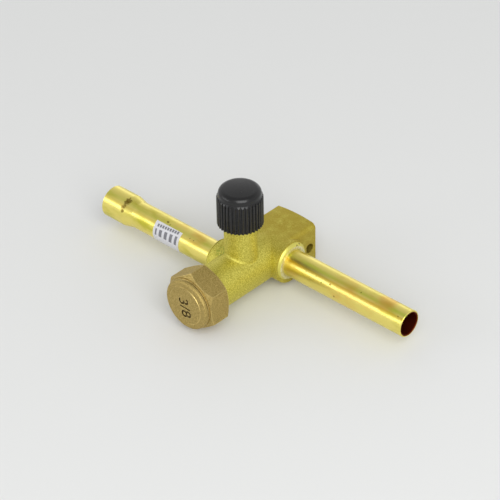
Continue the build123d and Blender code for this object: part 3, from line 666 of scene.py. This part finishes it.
class VALVE_OT_threads(bpy.types.Operator):
    """Adds the ridges of the two outside threads, which the caps cover at rest"""

    bl_idname = "valve.threads"
    bl_label = "Threads"

    neck = {"Root radius": 6.4 * MM, "Turns": 5.6, "Depth": 0.58 * MM}
    port = {"Root radius": 4.9 * MM, "Turns": 6.0, "Depth": 0.63 * MM}
    # where each ridge starts, from the open end of its cap
    neck_start = 0.8 * MM
    port_start = 0.6 * MM

    def execute(self, context):
        details = context.scene.valve_details
        tree = thread_tree()
        brass = small_metal("Cut brass", context.scene.valve_finishes.cut_brass, 0.3)
        stand = Matrix.Translation((0, CAP_HIGH.y - self.neck_start, 0))
        stand = stand @ Matrix.Rotation(math.pi / 2, 4, "X")
        neck = dict(self.neck, Pitch=details.neck_pitch, Finish=brass)
        thread(context, tree, "neck_thread", neck, stand)
        stand = Matrix.Translation((0, INLET_Y, PORT_CAP_LOW.z + self.port_start))
        port = dict(self.port, Pitch=details.port_pitch, Finish=brass)
        thread(context, tree, "port_thread", port, stand)
        return {"FINISHED"}
class VALVE_OT_tubes(bpy.types.Operator):
    """Finishes both tubes and the sticker"""

    bl_idname = "valve.tubes"
    bl_label = "Tubes"

    # x, angle from +Y towards +Z, and radius, in millimetres and degrees
    outlet_specks = ((30.3, 143.5, 0.5), (42.05, 114, 0.4), (58.8, 130, 0.35), (24.0, 141, 0.3),
                     (19.6, 142, 0.3), (26.7, 153.5, 0.35), (32.8, 184, 0.4))
    # on the inlet, the last four are larger dark spots in a row round the tube where it widens to
    # its socket
    inlet_specks = ((-32.9, 105, 0.6), (-31.4, 113, 0.4), (-19.4, 123, 0.3), (-21.2, 123, 0.3),
                    (-51.2, 106, 1.5), (-51.4, 120, 1.3), (-51.6, 138, 1.2), (-51.5, 152, 0.8))
    # the same, with the strongest share of the tint
    outlet_tints = ((52, 92, 5.0, 0.6), (14, 150, 5.0, 0.4), (36, 165, 9.0, 0.5),
                    (46, 150, 5.0, 0.4))
    inlet_tints = ((-19, 96, 5.0, 0.4), (-27, 100, 4.0, 0.3))

    def execute(self, context):
        colours = context.scene.valve_finishes
        # the fourth argument is the strength of the painted reflection bands
        outlet = bright_tube(colours, "Bright dipped tube, outlet", OUTLET_Y, 0.75,
                             self.outlet_specks, self.outlet_tints)
        inlet = bright_tube(colours, "Bright dipped tube, inlet", INLET_Y, 0.3,
                            self.inlet_specks, self.inlet_tints)
        dress(outlet, "outlet_tube")
        dress(inlet, "inlet_tube")
        dress(printed_sticker(colours), "tube_label")
        return {"FINISHED"}


class VALVE_OT_stem_cap(bpy.types.Operator):
    """Builds the hexagon cap with its stamped figures and finishes it"""

    bl_idname = "valve.stem_cap"
    bl_label = "Stem cap"

    # distances from the block's back face; a collar reaches over the barrel's end
    rear = 43.85 * MM
    collar_end = 44.7 * MM
    hex_front = 52.4 * MM
    # radii and lengths of the turned parts
    collar_r, thread_r = 7.9 * MM, 7.05 * MM
    flat_r, corner_r, rear_cut, front_cut = 9.3 * MM, 11.4 * MM, 1.15 * MM, 1.5 * MM
    button_r, button_start, button_edge = 9.1 * MM, 0.95 * MM, 0.9 * MM
    face_r, face_slope, face_rise = 6.85 * MM, 0.15 * MM, 0.25 * MM
    # radius and distance in front of the hexagon, in millimetres: a core, the ridge, the groove
    neck = ((0, -2), (8.7, -2), (8.95, 0), (8.95, 0.3), (8.75, 0.45), (8.45, 0.5), (8.45, 0.8))
    # the figures read downward; how far they lean, where they sit, and how bold they are
    lean = math.radians(13)
    figures_x, figures_z, boldness = -0.3 * MM, -0.9 * MM, 0.1 * MM
    crease = 24

    def execute(self, context):
        details = context.scene.valve_details
        cap = self.hexagon(context)
        combine(cap, "INTERSECT", turned(context, self.chamfers()))
        combine(cap, "UNION", turned(context, self.front()))
        combine(cap, "DIFFERENCE", turned(context, self.bore()))
        cap = plain_object(context, cap, "plain_cap")
        before = len(cap.data.polygons)
        combine(cap, "DIFFERENCE", self.figures(context, details))
        cap = plain_object(context, cap, "stamped_cap")
        if len(cap.data.polygons) <= before:
            raise RuntimeError("the figures did not cut the cap's face")
        for helper in [o for o in context.collection.objects if o.name.startswith("cutter")]:
            bpy.data.objects.remove(helper)
        finished(cap, tumbled_brass(context.scene.valve_finishes), self.crease)
        # large faces lead the shading, so that the flats stay flat up to their rounded edges
        cap.modifiers.new("Flats", "WEIGHTED_NORMAL").keep_sharp = True
        cap = plain_object(context, cap, "stamped_cap")
        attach(cap, "stem_cap")
        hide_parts("stem_cap")
        return {"FINISHED"}
    def hexagon(self, context):
        """Hexagonal bar in line with the solid cap's corners."""
        corner = max((v.co for v in frame["nodes"]["stem_cap"].data.vertices),
                     key=lambda co: co.x ** 2 + co.z ** 2)
        radius = math.hypot(corner.x, corner.z)
        start = math.atan2(corner.z, corner.x)
        angles = [start + i * math.pi / 3 for i in range(6)]
        ring = [(radius * math.cos(a), radius * math.sin(a)) for a in angles]
        points = [(x, y, z) for y in (-self.rear, -self.hex_front) for x, z in ring]
        sides = [(i, (i + 1) % 6, (i + 1) % 6 + 6, i + 6) for i in range(6)]
        mesh = bpy.data.meshes.new("hexagon")
        mesh.from_pydata(points, [], sides + [tuple(range(6)), tuple(range(11, 5, -1))])
        close_up(mesh)
        cap = bpy.data.objects.new("hexagon", mesh)
        context.collection.objects.link(cap)
        return cap

    def chamfers(self):
        """Profile that turns the hexagon's corners off at both ends."""
        return [(0, self.rear), (self.flat_r, self.rear), (self.corner_r, self.rear + self.rear_cut),
                (self.corner_r, self.hex_front - self.front_cut), (self.flat_r, self.hex_front),
                (0, self.hex_front)]

    def front(self):
        """Profile of ridge, groove, button with its rounded edge, and raised face."""
        face = -CAP_LOW.y
        end = face - self.face_rise
        profile = [(radius * MM, self.hex_front + far * MM) for radius, far in self.neck]
        profile.append((self.button_r, self.hex_front + self.button_start))
        profile += quarter_round(self.button_r - self.button_edge, end - self.button_edge,
                                 self.button_edge, steps=6)
        return profile + [(self.face_r + self.face_slope, end), (self.face_r, face), (0, face)]

    def bore(self):
        """Profile of the bore: a collar round the barrel's end, then the threaded part."""
        ceiling = -WASHER_LOW.y
        mouth = self.rear - MM
        return [(0, mouth), (self.collar_r, mouth), (self.collar_r, self.collar_end),
                (self.thread_r, self.collar_end), (self.thread_r, ceiling), (0, ceiling)]
    def figures(self, context, details):
        """Closed solid of the figures, half sunk in the cap's face."""
        text = bpy.data.curves.new("figures", "FONT")
        text.body = details.stamp
        text.size = details.stamp_height
        text.align_x = "CENTER"
        text.align_y = "CENTER"
        text.extrude = details.stamp_depth
        text.offset = self.boldness
        text.resolution_u = 4
        holder = bpy.data.objects.new("figures", text)
        context.collection.objects.link(holder)
        solid = plain_object(context, holder, "cutter_figures")
        across = Vector((math.sin(self.lean), 0, -math.cos(self.lean)))
        outward = Vector((0, -1, 0))
        turn = Matrix((across, outward.cross(across), outward)).transposed().to_4x4()
        centre = (self.figures_x, CAP_LOW.y, self.figures_z)
        solid.data.transform(Matrix.Translation(centre) @ turn)
        close_up(solid.data)
        return solid


class VALVE_OT_port_cap(bpy.types.Operator):
    """Rounds the top of the ribbed port cap and finishes it"""

    bl_idname = "valve.port_cap"
    bl_label = "Port cap"

    shoulder, rise = 1.9 * MM, 0.3 * MM
    band_depth = 1.8 * MM    # of the smooth band above the ribs
    band_play = 0.02 * MM
    clear, taper = 3 * MM, 1.2 * MM
    crease = 20

    def execute(self, context):
        cap = bpy.data.objects.new("domed_cap", frame["nodes"]["port_cap"].data.copy())
        context.collection.objects.link(cap)
        close_up(cap.data)
        before = len(cap.data.polygons)
        envelope = turned(context, self.dome(cap.data))
        # from the stem axis to the port axis
        stand = Matrix.Translation((0, INLET_Y, 0)) @ Matrix.Rotation(-math.pi / 2, 4, "X")
        envelope.data.transform(stand)
        combine(cap, "INTERSECT", envelope)
        cap = plain_object(context, cap, "domed_cap")
        bpy.data.objects.remove(envelope)
        if len(cap.data.polygons) in (0, before):
            raise RuntimeError("the dome did not round the port cap's top")
        finished(cap, moulded_plastic(context.scene.valve_finishes), self.crease)
        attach(cap, "port_cap")
        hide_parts("port_cap")
        return {"FINISHED"}

    def dome(self, mesh):
        """Profile of the cap's outside: wide up to its smooth band, then a full rounded shoulder
        that runs into a low dome."""
        top, foot = PORT_CAP_HIGH.z, PORT_CAP_LOW.z - MM
        band = max(math.hypot(v.co.x, v.co.y - INLET_Y)
                   for v in mesh.vertices if v.co.z > top - self.band_depth)
        wide, flat = band + self.clear, band - self.shoulder
        start = top - self.rise - self.shoulder
        profile = [(0, foot), (wide, foot), (wide, start - self.taper),
                   (band + self.band_play, start)]
        profile += quarter_round(flat, start, self.shoulder, steps=8)[1:]
        return profile + [(flat * share, top - self.rise * share ** 2)
                          for share in (0.75, 0.5, 0.25, 0)]
class VALVE_OT_inner_parts(bpy.types.Operator):
    """Finishes the stem, the valve core, the retaining ring and all seals"""

    bl_idname = "valve.inner_parts"
    bl_label = "Inner parts"

    def execute(self, context):
        colours = context.scene.valve_finishes
        brass = small_metal("Turned brass", colours.turned_brass, 0.26)
        steel = small_metal("Spring steel", colours.steel, 0.25)
        rubber = soft_seal("Nitrile rubber", colours.rubber, 0.45)
        plastic = soft_seal("Fluoropolymer", colours.fluoropolymer, 0.4)
        dress(brass, "stem", "core_plug", "core_barrel", "core_pin", "core_cup")
        dress(steel, "stem_retaining_ring", "core_spring")
        dress(rubber, "stem_o_ring_inner", "stem_o_ring_outer", "core_cup_seal", "port_cap_gasket")
        dress(plastic, "core_barrel_seal", "stem_cap_gasket")
        return {"FINISHED"}


class VALVE_PT_panel(bpy.types.Panel):
    """Lists the valve's steps in the sidebar"""

    bl_idname = "VALVE_PT_panel"
    bl_label = "Service valve"
    bl_space_type = "VIEW_3D"
    bl_region_type = "UI"
    bl_category = "Valve"

    def draw(self, context):
        for step in STEPS:
            self.layout.operator(step.bl_idname)


STEPS = (VALVE_OT_stage, VALVE_OT_forging, VALVE_OT_threads, VALVE_OT_tubes, VALVE_OT_stem_cap,
         VALVE_OT_port_cap, VALVE_OT_inner_parts)
CLASSES = (ValveFinishes, ValveDetails, ValveStudio) + STEPS + (VALVE_PT_panel,)


def register():
    for cls in CLASSES:
        bpy.utils.register_class(cls)
    bpy.types.Scene.valve_finishes = PointerProperty(type=ValveFinishes)
    bpy.types.Scene.valve_details = PointerProperty(type=ValveDetails)
    bpy.types.Scene.valve_studio = PointerProperty(type=ValveStudio)


def unregister():
    del bpy.types.Scene.valve_studio
    del bpy.types.Scene.valve_details
    del bpy.types.Scene.valve_finishes
    for cls in reversed(CLASSES):
        bpy.utils.unregister_class(cls)


def main():
    register()
    for step in STEPS:
        group, name = step.bl_idname.split(".")
        getattr(getattr(bpy.ops, group), name)()


if __name__ == "__main__":
    main()
